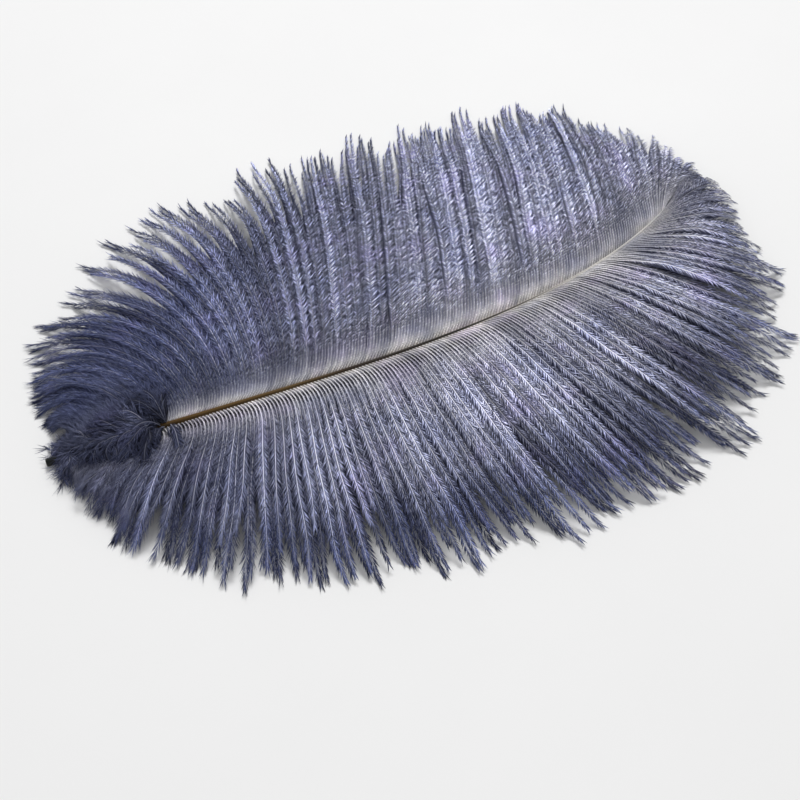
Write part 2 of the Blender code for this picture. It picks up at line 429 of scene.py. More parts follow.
def smooth_stations(share, rows):
    """A cubic through the stations' values, with the slope at each that its neighbours give."""
    table = np.array(rows, float)
    places, values = table[:, 0], table[:, 1:]
    slopes = np.gradient(values, places, axis=0)
    left = np.clip(np.searchsorted(places, share, side="right") - 1, 0, len(places) - 2)
    gap = (places[left + 1] - places[left])[:, None]
    part = np.clip((share[:, None] - places[left, None]) / gap, 0, 1)
    rise = part * part * (3 - 2 * part)
    start_pull = part * (1 - part) ** 2 * gap
    end_pull = part * part * (1 - part) * gap
    return (
        values[left] * (1 - rise)
        + values[left + 1] * rise
        + slopes[left] * start_pull
        - slopes[left + 1] * end_pull
    )


def shaft_height(share):
    """Height of the shaft's axis: a parabola's arch, and a rise to the tip."""
    return QUILL_RADIUS + 4 * ARCH_RISE * share * (1 - share) + TIP_RISE * share**2


def shaft_heading(share):
    """Direction of the shaft in plan: it turns with a power of the share."""
    return QUILL_HEADING + TIP_BEND * share**BEND_POWER


def shaft_radius(share):
    """Radius of the shaft: it falls with a power of the share."""
    return QUILL_RADIUS + (TIP_RADIUS - QUILL_RADIUS) * share**TAPER_POWER


def walk(starts, steps, heights, headings):
    """Points a step apart along each row, with these heights and, between them, these headings."""
    level = np.sqrt(np.maximum(steps[:, None] ** 2 - np.diff(heights, axis=1) ** 2, 0))
    none = np.zeros((len(starts), 1))
    ahead = np.hstack([none, np.cumsum(level * np.cos(headings), axis=1)])
    aside = np.hstack([none, np.cumsum(level * np.sin(headings), axis=1)])
    return np.stack([starts[:, :1] + ahead, starts[:, 1:2] + aside, heights], axis=2)


def shaft_line():
    """Shares and points of the shaft's axis, in fine steps of equal length."""
    share = np.linspace(0, 1, 301)
    middles = (share[1:] + share[:-1]) / 2
    step = np.array([SHAFT_LENGTH / 300])
    start = np.array([QUILL_END])
    points = walk(start, step, shaft_height(share)[None], shaft_heading(middles)[None])
    return share, points[0]


def points_on_shaft(share):
    """Points of the shaft's axis at these shares."""
    shares, points = shaft_line()
    return np.stack([np.interp(share, shares, points[:, k]) for k in range(3)], axis=1)


def barb_lines(share, side, length, start, direction, sweep, lift=0.0, bow=0.0):
    """Barbs as rows of points: each leaves at its start angle, turns out and sinks to the ground.

    The heading is the shaft's plus the barb's own direction, which goes on turning by the sweep
    and the bow, and a turn out that dies away over TURN_LENGTH. The height falls with a power of
    the place along the barb, plus half a sine wave of the lift, and is level past LIE_SHARE.
    """
    roots = points_on_shaft(share)
    along = np.linspace(0, 1, STATIONS)[None]
    middles = (along[:, 1:] + along[:, :-1]) / 2
    settled = direction[:, None] + sweep[:, None] * (middles - SWEEP_PIVOT)
    settled = settled + np.reshape(bow, (-1, 1)) * (middles - 0.5)
    turning = (start - settled[:, :1]) * np.exp(-middles * length[:, None] / TURN_LENGTH)
    headings = shaft_heading(share)[:, None] + side * (settled + turning)
    airborne = np.minimum(along / LIE_SHARE, 1)
    heights = roots[:, 2:] + (GROUND_HEIGHT - roots[:, 2:]) * airborne**SINK_POWER
    heights = heights + np.reshape(lift, (-1, 1)) * np.sin(math.pi * airborne)
    steps = length[:, None] / (STATIONS - 1)
    rises = np.clip(np.diff(heights, axis=1), -STEEPEST * steps, STEEPEST * steps)
    heights = np.hstack([heights[:, :1], heights[:, :1] + np.cumsum(rises, axis=1)])
    return walk(roots, steps[:, 0], heights, headings)


def vane_lines(share, vane, ragged):
    """The barbs that grow at these shares of a vane. Ragged runs from -1 to 1."""
    length, direction, sweep = smooth_stations(share, vane["stations"]).T
    length = length * (1 + RAGGED_LENGTH * ragged) * MM
    direction = np.radians(direction + RAGGED_DIRECTION * ragged)
    bow = vane["bow"] * (1 - smooth_step(share, *BOW_SHARES))
    start = np.minimum(BARB_START, direction)[:, None]
    sweep = np.radians(sweep)
    lines = barb_lines(share, vane["side"], length, start, direction, sweep, BARB_LIFT, bow)
    return lines, length


def frames_along(lines):
    """Unit vectors ahead, to the left and up at every point of the lines."""
    ahead = np.gradient(lines, axis=1)
    ahead /= np.linalg.norm(ahead, axis=2, keepdims=True)
    left = np.stack([-ahead[..., 1], ahead[..., 0], np.zeros(ahead.shape[:2])], axis=2)
    left /= np.linalg.norm(left, axis=2, keepdims=True)
    return ahead, left, np.cross(ahead, left)


def on_lines(values, which, place):
    """Values between the two nearest stations of line `which`, at this share of its length."""
    last = values.shape[1] - 1
    at = np.clip(place, 0, 1) * last
    low = np.minimum(at.astype(int), last - 1)
    part = at - low
    if values.ndim == 3:
        part = part[:, None]
    return values[which, low] * (1 - part) + values[which, low + 1] * part


def cut_lines(lines, kept):
    """Each line's first part, this share of its length, as evenly spaced points again."""
    count, stations = lines.shape[:2]
    which = np.repeat(np.arange(count), stations)
    place = (kept[:, None] * np.linspace(0, 1, stations)[None]).ravel()
    return on_lines(lines, which, place).reshape(count, stations, 3)


def lock_shares(crowding):
    """Where the locks of a vane grow, and the edges between them."""
    middles = FIRST_LOCK + (1 - FIRST_LOCK) * np.linspace(0, 1, LOCKS_PER_VANE) ** crowding
    inner = (middles[1:] + middles[:-1]) / 2
    first = middles[0] - (inner[0] - middles[0])
    return middles, np.concatenate([[first], inner, [1.0]])


def waves(rng, count, along, turns):
    """Slow sideways waves, one row each: a sine of random phase, pitch and size."""
    phase = rng.uniform(0, 2 * math.pi, (count, 1))
    pitch = rng.uniform(0.6, 1.0, (count, 1)) * turns
    size = rng.uniform(0.3, 1.0, (count, 1))
    return size * np.sin(phase + 2 * math.pi * pitch * along)


def painted_dusk_of(vane, share, along):
    """Painted shade: how much darker the dye is made towards the foot of the feather and at the
    barbs' tips.
    """
    foot = 1 - smooth_step(share, *PAINTED_DUSK_SHARES)
    foot_painted_dusk, reached = vane["foot_painted_dusk"]
    tip_painted_dusk, start, end = vane["tip_painted_dusk"]
    tips = tip_painted_dusk * smooth_step(along, start, end)
    return np.maximum(foot_painted_dusk * foot[:, None] * smooth_step(along, 0.0, reached), tips)


def strand_lines_of(vane, edges, lock_lines, ragged, along):
    """The middle lines of the strands, which are drawn in to their lock's."""
    lock = np.repeat(np.arange(LOCKS_PER_VANE), STRANDS_PER_LOCK)
    place = np.tile((np.arange(STRANDS_PER_LOCK) + 0.5) / STRANDS_PER_LOCK, LOCKS_PER_VANE)
    share = edges[lock] + place * (edges[lock + 1] - edges[lock])
    own = vane_lines(share, vane, ragged[lock])[0]
    pull = LOCK_PULL * smooth_step(along, *LOCK_PULL_ALONG)[..., None]
    return own + (lock_lines[lock] - own) * pull


def swayed(lines, barb_strand, strands, loose, along, rng):
    """Barbs that wander in slow waves, with their strand and alone, and loose ones that swing."""
    wander = WANDER * smooth_step(along, *WANDER_ALONG)
    sway = waves(rng, strands, along, 1.0)[barb_strand] * wander
    sway = sway + waves(rng, len(lines), along, 2.5) * wander * OWN_WANDER
    swing = LOOSE_SWING * loose * rng.uniform(-1, 1, len(lines))
    sway = sway + swing[:, None] * smooth_step(along, *LOOSE_SWING_ALONG)
    return lines + frames_along(lines)[1] * sway[..., None]


def grow_vane(vane, rng):
    """The barbs of one vane, as a dictionary of lines and one value for each barb.

    Barbs are drawn in to their strand's middle line, and strands in to their lock's. Barbs of
    high rank ride over their neighbours, and the shorter a barb is the higher it lies.
    """
    lock_middles, edges = lock_shares(vane["crowding"])
    locks = np.arange(LOCKS_PER_VANE)
    ragged = np.sin(GOLDEN_ANGLE * locks)
    lock_lines = vane_lines(lock_middles, vane, ragged)[0]
    along = np.linspace(0, 1, STATIONS)[None]
    strand_lines = strand_lines_of(vane, edges, lock_lines, ragged, along)
    strands = len(strand_lines)

    per_lock = vane["barbs_per_lock"]
    barb_lock = np.repeat(locks, per_lock)
    spot = np.tile((np.arange(per_lock) + 0.5) / per_lock, LOCKS_PER_VANE)
    barb_strand = barb_lock * STRANDS_PER_LOCK + (spot * STRANDS_PER_LOCK).astype(int)
    share = edges[barb_lock] + spot * (edges[barb_lock + 1] - edges[barb_lock])
    barbs = len(share)
    leads = np.cumsum(rng.random(barbs) < ORDERLY) % vane["lead_every"] == 0
    rank = FOLLOWER_RANK + (LEADER_RANK - FOLLOWER_RANK) * leads
    rank = rank + RANK_NOISE * rng.uniform(-1, 1, barbs)
    lines, lengths = vane_lines(share, vane, ragged[barb_lock])
    loose = rng.random(barbs) < LOOSE_BARBS
    at_foot = 1 - smooth_step(share, *FOOT_PULL_SHARES)
    pull = (STRAND_PULL + FOOT_PULL * at_foot) * np.where(loose, LOOSE_PULL, 1.0)
    pull = pull[:, None] * smooth_step(along, *STRAND_PULL_ALONG)
    lines = lines + (strand_lines[barb_strand] - lines) * pull[..., None]
    lines = swayed(lines, barb_strand, strands, loose, along, rng)

    shortness = rng.random(barbs) ** SHORT_POWER * (SHORT_FLOOR + (1 - SHORT_FLOOR) * rank)
    kept = 1 - (1 - vane["shortest"]) * shortness - BRUSH / lengths
    across = 2 * spot - 1
    level = STRAND_LIFT * rng.random(strands)
    lift = LOCK_ARCH * (1 - across**2) + level[barb_strand] + LAYER_STEP * (barb_lock % 2)
    lift = lift * vane["unevenness"]
    lift = lift + LEADER_RISE * rank + SHORT_LIFT * (1 - kept) + LOOSE_LIFT * loose
    lift = lift + LIFT_NOISE * rng.uniform(-1, 1, barbs)
    parting = np.clip((along * lengths[:, None] - LAYER_START) / LAYER_RUN, 0, 1)
    parting = parting * (1 - LIFT_FALL * smooth_step(along, *LIFT_FALL_ALONG))
    lines[..., 2] = np.maximum(lines[..., 2] + lift[:, None] * parting, LOWEST)

    lock_tints = rng.normal(0, LOCK_TINTS, LOCKS_PER_VANE)
    fluff = 1 - smooth_step(share, *FLUFF_SHARES)
    crisp = 1 - fluff
    follower, leader = vane["rank_light_and_shade_tints"]
    at_foot = 1 - smooth_step(share, *FOOT_THREAD_SHARES)
    short = 1 - smooth_step(lengths, *THIN_LENGTHS)
    full_growth = np.minimum(VANE_GROWTH, SHORT_GROWTH * lengths * kept)
    return {
        "lines": cut_lines(lines, kept),
        "length": lengths * kept,
        "tint": lock_tints[barb_lock] + rng.normal(0, BARB_TINTS, barbs),
        "rank_light_and_shade": follower + (leader - follower) * rank,
        # The dusk: painted shade along each barb.
        "painted_dusk": painted_dusk_of(vane, share, along * kept[:, None]),
        "shade": vane["tip_shade"] * smooth_step(share, *TIP_SHADE_SHARES),
        "fluff": fluff,
        "growth": full_growth * (1 - FOOT_GROWTH * fluff),
        "thread_light_and_shade": vane["thread_light_and_shade"] + (FOOT_THREAD_TINT - vane["thread_light_and_shade"]) * at_foot,
        "thickness": 1 - vane["short_thinness"] * short,
        "web": 1 + (FOLLOWER_WEB - 1) * (1 - rank),
        "longest": vane["longest"] + (FOOT_BARBULE - vane["longest"]) * fluff,
        "gap": vane["gap"] + (FOOT_BARBULE_GAP - vane["gap"]) * fluff,
        "lean": (1 - FOOT_LEAN * fluff) * vane["lean"],
        "slant": vane["slant"] * crisp,
        "breadth": 1 + (vane["breadth"] - 1) * crisp,
    }


def grow_down(rng):
    """The soft barbs at the shaft's foot, which rise over it and fall in every direction."""
    count = DOWN_BARBS
    along = np.linspace(0, 1, STATIONS)[None]
    both = []
    for side in (1, -1):
        part = count // 2
        first, last = DOWN_SHARES
        share = first + (last - first) * rng.random(part) ** DOWN_CROWDING
        shortest, growth, longest = DOWN_REACH
        length = np.minimum(shortest + growth * share, longest) * rng.uniform(*DOWN_LENGTHS, part)
        direction = rng.uniform(*DOWN_DIRECTIONS, part)
        sweep = rng.uniform(-DOWN_SWEEP, DOWN_SWEEP, part)
        lift = rng.uniform(*DOWN_LIFTS, part)
        both.append(barb_lines(share, side, length, direction[:, None], direction, sweep, lift))
    lines = np.concatenate(both)
    sway = waves(rng, count, along, 2.0) * DOWN_WANDER * smooth_step(along, 0.0, 1.0)
    lines = lines + frames_along(lines)[1] * sway[..., None]
    lines[..., 2] = np.maximum(lines[..., 2], LOWEST)
    steps = np.linalg.norm(np.diff(lines, axis=1), axis=2)
    alike = {
        "rank_light_and_shade": 0.0,
        "shade": 0.0,
        "fluff": DOWN_FLUFF,
        "growth": DOWN_GROWTH,
        "thread_light_and_shade": 0.0,
        "thickness": DOWN_THINNESS,
        "web": 1.0,
        "longest": FOOT_BARBULE,
        "gap": DOWN_GAP,
        "lean": 1.0,
        "slant": 0.0,
        "breadth": 1.0,
    }
    return {
        "lines": lines,
        "length": steps.sum(axis=1),
        "tint": rng.normal(*DOWN_TINT_AND_SHADE, count),
        # The down has the dusk in full: painted shade over the whole tuft.
        "painted_dusk": np.ones((count, STATIONS)),
        **{key: np.full(count, value) for key, value in alike.items()},
    }


def tube_faces(rows, stations, sides):
    """Triangles of closed tubes: two for each side between rings, and a fan over each end."""
    ring = np.arange(stations - 1)[:, None] * sides
    here = np.arange(sides)[None]
    after = (here + 1) % sides
    a, b = ring + here, ring + after
    c, d = a + sides, b + sides
    walls = np.stack([np.stack([a, b, d], -1), np.stack([a, d, c], -1)], 2).reshape(-1, 3)
    fan = np.arange(1, sides - 1)
    start = np.stack([np.zeros(len(fan), int), fan + 1, fan], -1)
    end = np.stack([np.zeros(len(fan), int), fan, fan + 1], -1) + (stations - 1) * sides
    one = np.concatenate([walls, start, end])
    shift = np.arange(rows)[:, None, None] * stations * sides
    return (one[None] + shift).reshape(-1, 3)


def tubes(lines, widths, heights, section):
    """Points of tubes along the lines: the section's (left, up) corners times width and height."""
    ahead, left, up = frames_along(lines)
    corners = np.array(section)
    sideways = left[:, :, None] * (widths[..., None] * corners[:, 0])[..., None]
    upwards = up[:, :, None] * (heights[..., None] * corners[:, 1])[..., None]
    return (lines[:, :, None] + sideways + upwards).reshape(-1, 3)


def resampled(lines, stations):
    """The same lines with this many points each, evenly spaced."""
    which = np.repeat(np.arange(len(lines)), stations)
    place = np.tile(np.linspace(0, 1, stations), len(lines))
    return on_lines(lines, which, place).reshape(len(lines), stations, 3)


def barbule_length(longest, reach, along, fluff, growth):
    """How long the barbules are: short at the root, longest past it, shorter to a thin tip."""
    tip = TIP_LENGTH + FLUFF_TIP_LENGTH * fluff
    grown = ROOT_LENGTH + (1 - ROOT_LENGTH) * smooth_step(reach, GROWTH_START, growth)
    return longest * grown * (1 - (1 - tip) * smooth_step(along, *TIP_LENGTH_ALONG))


class Pile:
    """Vertices, triangles and values of many small shapes, for one mesh."""

    def __init__(self):
        self.points, self.faces, self.values, self.count = [], [], [], 0

    def add(self, points, faces, row, along, reach, fringe, hand, tint, painted_dusk):
        """Put in shapes, with the values of each of their points."""
        self.points.append(points)
        self.faces.append(faces + self.count)
        self.values.append(np.stack([row, along, reach, fringe, hand, tint, painted_dusk], axis=1))
        self.count += len(points)


def tint_along(barbs, each, reach):
    """A barb's own tint, with its rank's painted light and shade added as it leaves the shaft."""
    return barbs["tint"][each] + barbs["rank_light_and_shade"][each] * smooth_step(reach, *RANK_REACH)


def root_shade(barbs, each, reach):
    """Painted shade on the barbules near the shaft: most near the feather's tip, none far out."""
    return barbs["shade"][each] * (1 - smooth_step(reach, *TIP_SHADE_REACH))


def add_threads(pile, rows, barbs, looks):
    """The stiff thread of each barb: a three-sided tube that thins to its tip.

    The radius falls with a power of the place along it, and has a flare at the root that dies
    away over FLARE_LENGTH.
    """
    lines = resampled(barbs["lines"], THREAD_STATIONS)
    along = np.linspace(0, 1, THREAD_STATIONS)[None]
    radius = THREAD_RADIUS + (THREAD_TIP_RADIUS - THREAD_RADIUS) * along**THREAD_TAPER
    flare = np.exp(-along * barbs["length"][:, None] / FLARE_LENGTH)
    radius = (radius + looks["flare"] * flare) * barbs["thickness"][:, None]
    section = np.stack([np.cos(THREAD_CORNERS), np.sin(THREAD_CORNERS)], axis=1)
    points = tubes(lines, radius, radius, section)
    faces = tube_faces(len(lines), THREAD_STATIONS, 3)
    row = np.repeat(rows, THREAD_STATIONS * 3)
    place = np.tile(np.repeat(along[0], 3), len(lines))
    each = np.repeat(np.arange(len(lines)), THREAD_STATIONS * 3)
    hand = np.tile([0.0, 1.0, -1.0], len(lines) * THREAD_STATIONS)
    reach = place * barbs["length"][each]
    painted_dusk = THREAD_PAINTED_DUSK * on_lines(barbs["painted_dusk"], each, place)
    fringe = np.zeros(len(row))
    tint = tint_along(barbs, each, reach)
    # Painted light and shade: away from the foot, the narrow vane's threads are brightened and the
    # wide vane's dimmed.
    tint = tint + barbs["thread_light_and_shade"][each] * smooth_step(reach, *THREAD_REACH)
    pile.add(points, faces, row, place, reach, fringe, hand, tint, painted_dusk)


def add_webs(pile, rows, barbs, looks):
    """The felted barbules close to the thread: a low roof with its ridge under the thread.

    Its half width is a share of the barbules' length, no less than the root's own width near the
    shaft, and it closes to nothing before the barb's tip. Its dark tint is painted shade, which
    fills the gaps between the barbs.
    """
    lines = resampled(barbs["lines"], WEB_STATIONS)
    along = np.linspace(0, 1, WEB_STATIONS)[None]
    reach = along * barbs["length"][:, None]
    fluff = np.clip(barbs["fluff"][:, None], 0, 1)
    growth = barbs["growth"][:, None]
    width = barbule_length(barbs["longest"][:, None], reach, along, fluff, growth)
    width = width * WEB_SHARE * (1 - FLUFF_WEB * fluff) * barbs["web"][:, None]
    rooted = looks["root_web"] * (1 - smooth_step(reach, *ROOT_WEB_REACH))
    width = np.maximum(width, rooted)
    width = width * (1 - smooth_step(along, *WEB_END_ALONG)) + WEB_EDGE
    drop = math.tan(WEB_DROOP)
    points = tubes(lines, width, width, [(0, 0.0), (1, -drop), (-1, -drop)])
    faces = tube_faces(len(lines), WEB_STATIONS, 3)[:, ::-1]
    row = np.repeat(rows, WEB_STATIONS * 3)
    place = np.tile(np.repeat(along[0], 3), len(lines))
    each = np.repeat(np.arange(len(lines)), WEB_STATIONS * 3)
    hand = np.tile([0.0, 1.0, -1.0], len(lines) * WEB_STATIONS)
    fringe = np.tile(WEB_FRINGE, len(lines) * WEB_STATIONS)
    painted_dusk = on_lines(barbs["painted_dusk"], each, place)
    reach = reach.repeat(3)
    tint = tint_along(barbs, each, reach) - root_shade(barbs, each, reach)
    # Painted shade: the web is darkened to fill the gaps between barbs.
    tint = tint + looks["web_painted_shade"] * smooth_step(reach, 0, looks["web_reach"])
    pile.add(points, faces, row, place, reach, fringe, hand, tint, painted_dusk)


def blade_points(root, tip, above, half_width):
    """A flat pyramid from the root to the tip: its edge lies BLADE_WIDEST of the way along.

    The edge's two ends are half the width to each side of the line, and a little above it.
    """
    run = tip - root
    span = np.linalg.norm(run, axis=1, keepdims=True)
    run = run / span
    side = np.cross(above, run)
    side /= np.linalg.norm(side, axis=1, keepdims=True)
    above = np.cross(run, side)
    short = np.clip(span[:, 0] / FULL_BLADE_LENGTH, SHORT_BLADE, 1)
    half = side * (half_width * short)[:, None]
    middle = root + run * span * BLADE_WIDEST + above * BLADE_THICKNESS
    points = np.stack([root, middle + half, middle - half, tip], axis=1)
    points[..., 2] = np.maximum(points[..., 2], BARBULE_FLOOR)
    return points


def add_barbules(pile, rows, barbs, looks, rng):
    """Loose barbules: thin blades, rooted side by side along both sides of the thread.

    A blade's tip lies ahead and aside of its root by its angle and length. Neighbours lean
    together in clusters of a thin blade and a broad one.
    """
    lines = barbs["lines"]
    ahead, left, up = frames_along(lines)
    number = ((barbs["length"] - BARBULE_START) / barbs["gap"]).astype(int)
    each = np.repeat(np.arange(len(lines)), number)
    order = np.arange(len(each)) - np.repeat(np.cumsum(number) - number, number)
    each, order = np.tile(each, 2), np.tile(order, 2)
    hand = np.repeat([1.0, -1.0], len(each) // 2)
    count = len(each)
    gap, longest, growth, fluff = (barbs[key][each] for key in ("gap", "longest", "growth", "fluff"))
    shift = rng.uniform(-GAP_NOISE, GAP_NOISE, count)
    reach = BARBULE_START + (order + 0.5 + shift) * gap
    along = np.minimum(reach / barbs["length"][each], 1.0)

    cluster, member = order // CLUSTER, order % CLUSTER
    thin = member == 0
    clusters = cluster.max() + 1
    which = (each * 2 + (hand > 0)) * clusters + cluster
    long, wide_open, high, light = rng.random((len(lines) * 2 * clusters, 4))[which].T
    shortest, cluster_length, own_length = BARBULE_LENGTHS
    length = barbule_length(longest, reach, along, fluff, growth)
    length = length * (shortest + cluster_length * long + own_length * rng.random(count))
    length = length * (1 - barbs["slant"][each] * hand)
    angle = ROOT_ANGLE + (TIP_ANGLE - ROOT_ANGLE) * smooth_step(along, 0.0, 1.0)
    angle = angle * (ANGLE_SHARE + ANGLE_SPREAD * (wide_open - 0.5))
    angle = angle * (1 - BRUSH_ANGLE * smooth_step(along, *BRUSH_ALONG)) * barbs["lean"][each]
    angle = angle * (1 + FLUFF_ANGLES * fluff * rng.standard_normal(count))
    roll = -DROOP + TOSS * (2 * high - 1)
    roll = roll + (OWN_TOSS * TOSS + FLUFF_TOSS * fluff) * rng.standard_normal(count)
    roll = roll + np.where(thin, THIN_ROLL, BROAD_ROLL)

    forward = on_lines(ahead, each, along)
    aside = on_lines(left, each, along) * hand[:, None]
    above = on_lines(up, each, along)
    cover = (looks["crossing"] * (hand < 0))[:, None]
    seat = BARBULE_SEAT + COVER_SEAT * (cover > 0)
    root = on_lines(lines, each, along) - aside * cover + above * seat
    out = aside * np.cos(roll)[:, None] + above * np.sin(roll)[:, None]
    run = forward * np.cos(angle)[:, None] + out * np.sin(angle)[:, None]
    offset = (member - (CLUSTER - 1) / 2 + shift) * gap
    tip = root + run * length[:, None] - forward * (CLUSTER_PULL * offset)[:, None]
    half_width = np.where(thin, THIN_BLADE, BROAD_BLADE) / 2
    half_width = half_width * barbs["breadth"][each] * (1 - FLUFF_THINNESS * fluff)
    points = blade_points(root, tip, above, half_width)

    blade = np.array([(1, 2, 3), (2, 1, 0), (0, 1, 3), (0, 3, 2)])
    base = (np.arange(count) * 4)[:, None, None]
    cell = (0.5 * gap / barbs["length"][each])[:, None] * np.array([0, -1, 1, 0])
    place = np.clip(along[:, None] + cell, 0, 1).ravel()
    calm = 1 - FLUFF_CALM * np.clip(fluff, 0, 1)
    grown = smooth_step(reach, *CONTRAST_REACH)
    contrast = looks["contrast"] * calm * (ROOT_CONTRAST + (1 - ROOT_CONTRAST) * grown)
    tint = tint_along(barbs, each, reach) + looks["variety"] * calm * (2 * light - 1)
    # Painted shade on the thin blades and near the shaft, and painted light on the broad blades.
    tint = tint + np.where(thin, -contrast, contrast / 3) - root_shade(barbs, each, reach)
    pile.add(
        points.reshape(-1, 3),
        (blade[None] + base).reshape(-1, 3),
        np.repeat(rows[each], 4),
        place,
        np.repeat(reach, 4),
        np.tile(BLADE_FRINGE, count),
        np.repeat(hand, 4),
        np.repeat(tint, 4),
        np.repeat(on_lines(barbs["painted_dusk"], each, along), 4),
    )


def mesh_object(name, pile, rows):
    """One mesh of all that the pile holds, with its values as attributes and a UV map.

    In the map each barb has a row of its own: u is the place along the barb and v the place
    across it, from the tips of its barbules on one side to those on the other.
    """
    points = np.concatenate(pile.points)
    faces = np.concatenate(pile.faces)
    row, along, reach, fringe, hand, tint, painted_dusk = np.concatenate(pile.values).T
    mesh = bpy.data.meshes.new(name)
    mesh.vertices.add(len(points))
    mesh.vertices.foreach_set("co", points.astype(np.float32).ravel())
    mesh.loops.add(faces.size)
    mesh.loops.foreach_set("vertex_index", faces.astype(np.int32).ravel())
    mesh.polygons.add(len(faces))
    mesh.polygons.foreach_set("loop_start", np.arange(0, faces.size, 3, dtype=np.int32))
    values = {
        "along": along,
        "reach": reach / (100 * MM),
        "fringe": fringe,
        "hand": hand,
        "tint": tint,
        "painted_dusk": painted_dusk,
    }
    for label, value in values.items():
        attribute = mesh.attributes.new(label, "FLOAT", "POINT")
        attribute.data.foreach_set("value", value.astype(np.float32))
    u = 0.01 + 0.98 * along
    v = (row + 0.5 + hand * (0.04 + 0.42 * fringe)) / rows
    corners = np.stack([u, v], axis=1)[faces.ravel()]
    chart = mesh.uv_layers.new(name="OFBake")
    chart.uv.foreach_set("vector", corners.astype(np.float32).ravel())
    mesh.update(calc_edges=True)
    made = bpy.data.objects.new(name, mesh)
    bpy.context.scene.collection.objects.link(made)
    return made


def picked(barbs, chosen):
    """The dictionary of barbs, with only the chosen ones in it."""
    return {key: value[chosen] for key, value in barbs.items()}


def barb_piece(name, barbs, looks, rng):
    """The threads, webs and barbules of these barbs as one object."""
    pile = Pile()
    rows = np.arange(len(barbs["length"]))
    add_threads(pile, rows, barbs, looks)
    add_webs(pile, rows, barbs, looks)
    add_barbules(pile, rows, barbs, looks, rng)
    return mesh_object(name, pile, len(rows))


# Materials.


def new_material(name):
    """A new material, its nodes and its links."""
    material = bpy.data.materials.new(name)
    material.use_nodes = True
    return material, material.node_tree.nodes, material.node_tree.links


def ramp(nodes, links, stops, factor):
    """The colour between these (place, colour) stops at this factor."""
    node = nodes.new("ShaderNodeValToRGB")
    elements = node.color_ramp.elements
    while len(elements) < len(stops):
        elements.new(0.5)
    for element, (place, colour) in zip(elements, stops):
        element.position = place
        element.color = (*colour, 1)
    links.new(factor, node.inputs["Fac"])
    return node.outputs["Color"]


def attribute(nodes, name):
    """The mesh's own value of this name."""
    node = nodes.new("ShaderNodeAttribute")
    node.attribute_name = name
    return node.outputs["Fac"]


def feed(links, socket, value):
    """Give a socket another node's output, a colour or a plain number."""
    if isinstance(value, bpy.types.NodeSocket):
        links.new(value, socket)
    elif isinstance(value, tuple):
        socket.default_value = (*value, 1)
    else:
        socket.default_value = value


def mix_colour(nodes, links, share, first, second, kind="MIX"):
    """The first colour with this share of the second mixed in, or multiplied with it."""
    node = nodes.new("ShaderNodeMix")
    node.data_type = "RGBA"
    node.blend_type = kind
    for place, value in ((0, share), (6, first), (7, second)):
        feed(links, node.inputs[place], value)
    return node.outputs[2]


def multiplied(nodes, links, first, second):
    """The product of two colours."""
    return mix_colour(nodes, links, 1.0, first, second, "MULTIPLY")


def number(nodes, links, kind, *values):
    """A math node of this kind, fed by sockets or plain numbers."""
    node = nodes.new("ShaderNodeMath")
    node.operation = kind
    for socket, value in zip(node.inputs, values):
        feed(links, socket, value)
    return node.outputs[0]


def stretched(nodes, links, value, low, high):
    """The value mapped so that low gives 0 and high gives 1, and no further."""
    node = nodes.new("ShaderNodeMapRange")
    feed(links, node.inputs["Value"], value)
    feed(links, node.inputs["From Min"], low)
    feed(links, node.inputs["From Max"], high)
    return node.outputs[0]


def noise(nodes, links, vector, scale, detail):
    """Noise at this vector, with this many waves to its unit."""
    node = nodes.new("ShaderNodeTexNoise")
    links.new(vector, node.inputs["Vector"])
    feed(links, node.inputs["Scale"], scale)
    node.inputs["Detail"].default_value = detail
    return node.outputs["Fac"]


def in_place(nodes):
    """The place in the object, in metres."""
    return nodes.new("ShaderNodeTexCoord").outputs["Object"]


def grain_group():
    """A node group for mottled grain, from fine noise and noise eight times as broad.

    Shade is 1 plus the mixed noise's departure from a half times Contrast, Roughness is the mean
    roughness plus the broad noise's departure times 0.35, and Height is the fine noise.
    """
    group = bpy.data.node_groups.new("grain", "ShaderNodeTree")
    given_sockets = (
        ("Vector", "Vector"),
        ("Fineness", "Float"),
        ("Contrast", "Float"),
        ("Mean Roughness", "Float"),
    )
    for label, kind in given_sockets:
        group.interface.new_socket(label, in_out="INPUT", socket_type=f"NodeSocket{kind}")
    for label in ("Shade", "Roughness", "Height"):
        group.interface.new_socket(label, in_out="OUTPUT", socket_type="NodeSocketFloat")
    nodes, links = group.nodes, group.links
    given = nodes.new("NodeGroupInput").outputs
    result = nodes.new("NodeGroupOutput").inputs
    coarseness = number(nodes, links, "DIVIDE", given["Fineness"], 8.0)
    fine = noise(nodes, links, given["Vector"], given["Fineness"], 2.0)
    broad = noise(nodes, links, given["Vector"], coarseness, 2.0)
    apart = number(nodes, links, "SUBTRACT", number(nodes, links, "ADD", fine, broad), 1.0)
    shade = number(nodes, links, "MULTIPLY_ADD", apart, given["Contrast"], 1.0)
    spread = number(nodes, links, "MULTIPLY_ADD", broad, 0.35, -0.175)
    links.new(shade, result["Shade"])
    links.new(number(nodes, links, "ADD", given["Mean Roughness"], spread), result["Roughness"])
    links.new(fine, result["Height"])
    return group


